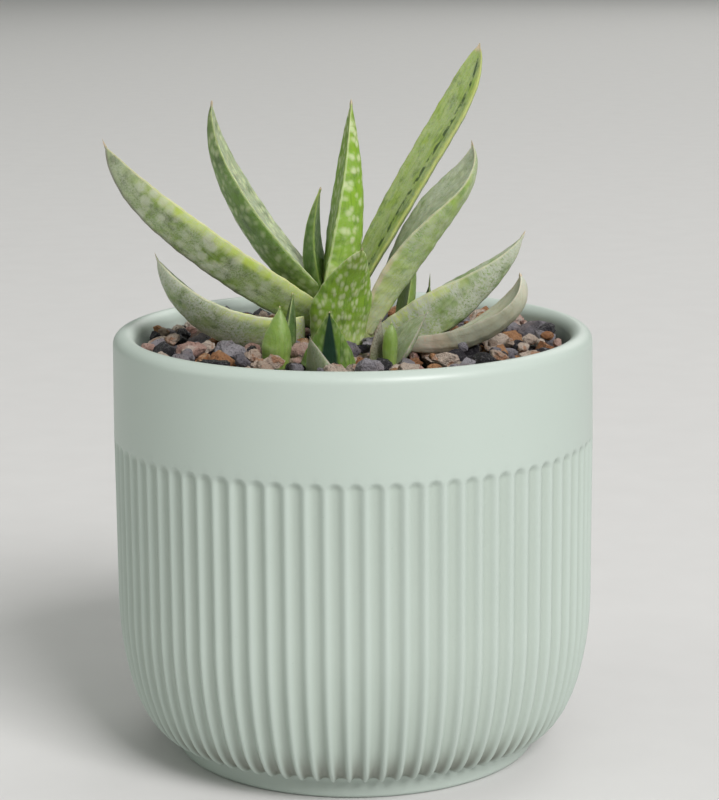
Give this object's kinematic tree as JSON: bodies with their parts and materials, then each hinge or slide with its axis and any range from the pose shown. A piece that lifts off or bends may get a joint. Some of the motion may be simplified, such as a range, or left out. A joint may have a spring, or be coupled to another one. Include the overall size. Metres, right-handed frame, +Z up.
{
  "type": "potted gasteria",
  "caption": "Small gasteria with spotted tongue-shaped leaves and young offsets, in a fluted round ceramic pot topped with mixed grit.",
  "frame": {"origin": "centre of the pot's foot, on the surface that the pot stands on, on the pot's axis", "axes": "+Z up along the pot's axis, -Y the front of the plant, +X to the right seen from the front"},
  "size_m": [0.1046, 0.1046, 0.1535],
  "materials": {
    "glazed_pot": "satin glazed ceramic, pale sage green",
    "soil": "dark crumbly potting mix",
    "grit": "mixed volcanic grit, rough",
    "stone": "larger rough stones of pumice, granite and baked clay",
    "stem": "smooth pale green stem",
    "leaf": "thick green leaf, pale spots and margins, waxy",
    "dry_leaf": "shrivelled grey-green leaf, matte",
    "offset_leaf": "young green leaf, waxy"
  },
  "bodies": {
    "root": {"pot": "glazed_pot", "soil": "soil", "grit_bed": "grit", "stem": "stem", "left_offset_stem": "stem", "front_offset_stem": "stem", "right_offset_stem": "stem", "rear_offset_stem": "stem", "leaf_heart": "leaf", "leaf_centre_upright": "leaf", "leaf_left_upright": "leaf", "leaf_right_long": "leaf", "leaf_right_broad": "leaf", "leaf_left_long": "leaf", "leaf_front_broad": "leaf", "leaf_left_low": "leaf", "leaf_right_low": "leaf", "leaf_right_dry": "dry_leaf", "rear_offset_leaf": "offset_leaf", "rear_offset_tip": "offset_leaf", "left_offset_front_leaf": "offset_leaf", "left_offset_back_leaf": "offset_leaf", "front_offset_striped_leaf": "offset_leaf", "front_offset_grey_leaf": "offset_leaf", "right_offset_brown_leaf": "offset_leaf", "right_offset_cupped_leaf": "offset_leaf", "right_offset_broad_leaf": "offset_leaf", "grit_stone_01": "stone", "grit_stone_02": "stone", "grit_stone_03": "stone", "grit_stone_04": "stone", "grit_stone_05": "stone", "grit_stone_06": "stone", "grit_stone_07": "stone", "grit_stone_08": "stone", "grit_stone_09": "stone", "grit_stone_10": "stone", "grit_stone_11": "stone", "grit_stone_12": "stone", "grit_stone_13": "stone", "grit_stone_14": "stone", "grit_stone_15": "stone", "grit_stone_16": "stone", "grit_stone_17": "stone", "grit_stone_18": "stone", "grit_stone_19": "stone", "grit_stone_20": "stone", "grit_stone_21": "stone", "grit_stone_22": "stone", "grit_stone_23": "stone", "grit_stone_24": "stone"}
  },
  "joints": []
}
